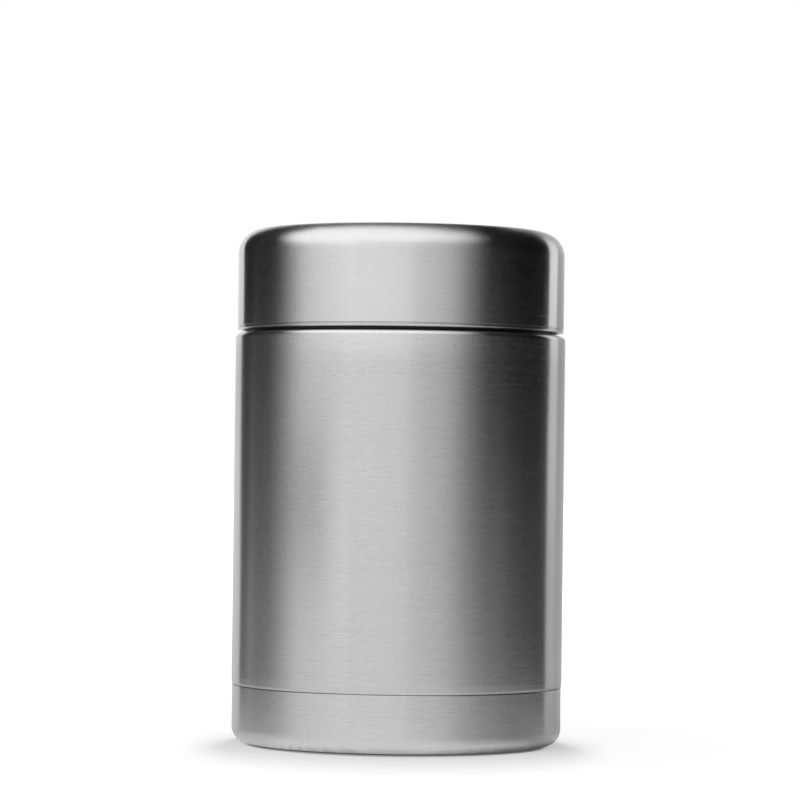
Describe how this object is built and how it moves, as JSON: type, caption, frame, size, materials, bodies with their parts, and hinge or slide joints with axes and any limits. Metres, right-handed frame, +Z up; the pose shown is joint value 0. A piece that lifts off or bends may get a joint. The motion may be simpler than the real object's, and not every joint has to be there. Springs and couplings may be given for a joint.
{
  "type": "insulated food jar",
  "caption": "Round brushed-steel insulated lunch jar with a double vacuum wall, a pressed foot cup, and a screw lid with a soft seal and a small vent valve.",
  "frame": {"origin": "centre of the jar's foot, on the surface it stands on", "axes": "+Z up along the jar's axis; the jar is round, so +X and +Y are any two level directions"},
  "size_m": [0.1, 0.1, 0.155],
  "materials": {
    "brushed_steel": "satin",
    "drawn_steel": "satin",
    "plain_steel": "satin",
    "solder": "satin",
    "getter_metal": "matte",
    "copper_foil": "satin",
    "black_plastic": "satin",
    "white_foam": "matte",
    "pale_silicone": "matte"
  },
  "bodies": {
    "vessel": {"outer_shell": "brushed_steel", "inner_liner": "drawn_steel", "base_cup": "brushed_steel", "vacuum_base": "plain_steel", "vacuum_seal": "solder", "getter": "getter_metal", "getter_clip": "plain_steel", "foil_wrap": "copper_foil", "foil_disc": "copper_foil"},
    "seal": {"seal_ring": "pale_silicone"},
    "lid": {"lid_cap": "brushed_steel", "lid_liner": "black_plastic", "lid_foam": "white_foam"},
    "vent": {"vent_valve": "pale_silicone"}
  },
  "joints": [
    {"name": "lid_lift", "type": "slide", "parent": "vessel", "child": "seal", "axis": [0, 0, 1], "range_m": [0, 0.06]},
    {"name": "lid_turn", "type": "hinge", "parent": "seal", "child": "lid", "pos_m": [0, 0, 0.1246], "axis": [0, 0, 1], "range_deg": [0, 2160]},
    {"name": "vent_drop", "type": "slide", "parent": "lid", "child": "vent", "axis": [0, 0, 1], "range_m": [-0.0012, 0], "stiffness_N_per_m": 60, "springref_m": 0.0005}
  ],
  "couplings": [
    {"joint": "lid_lift", "follows": "lid_turn", "m_per_rad": 0.0015915}
  ]
}
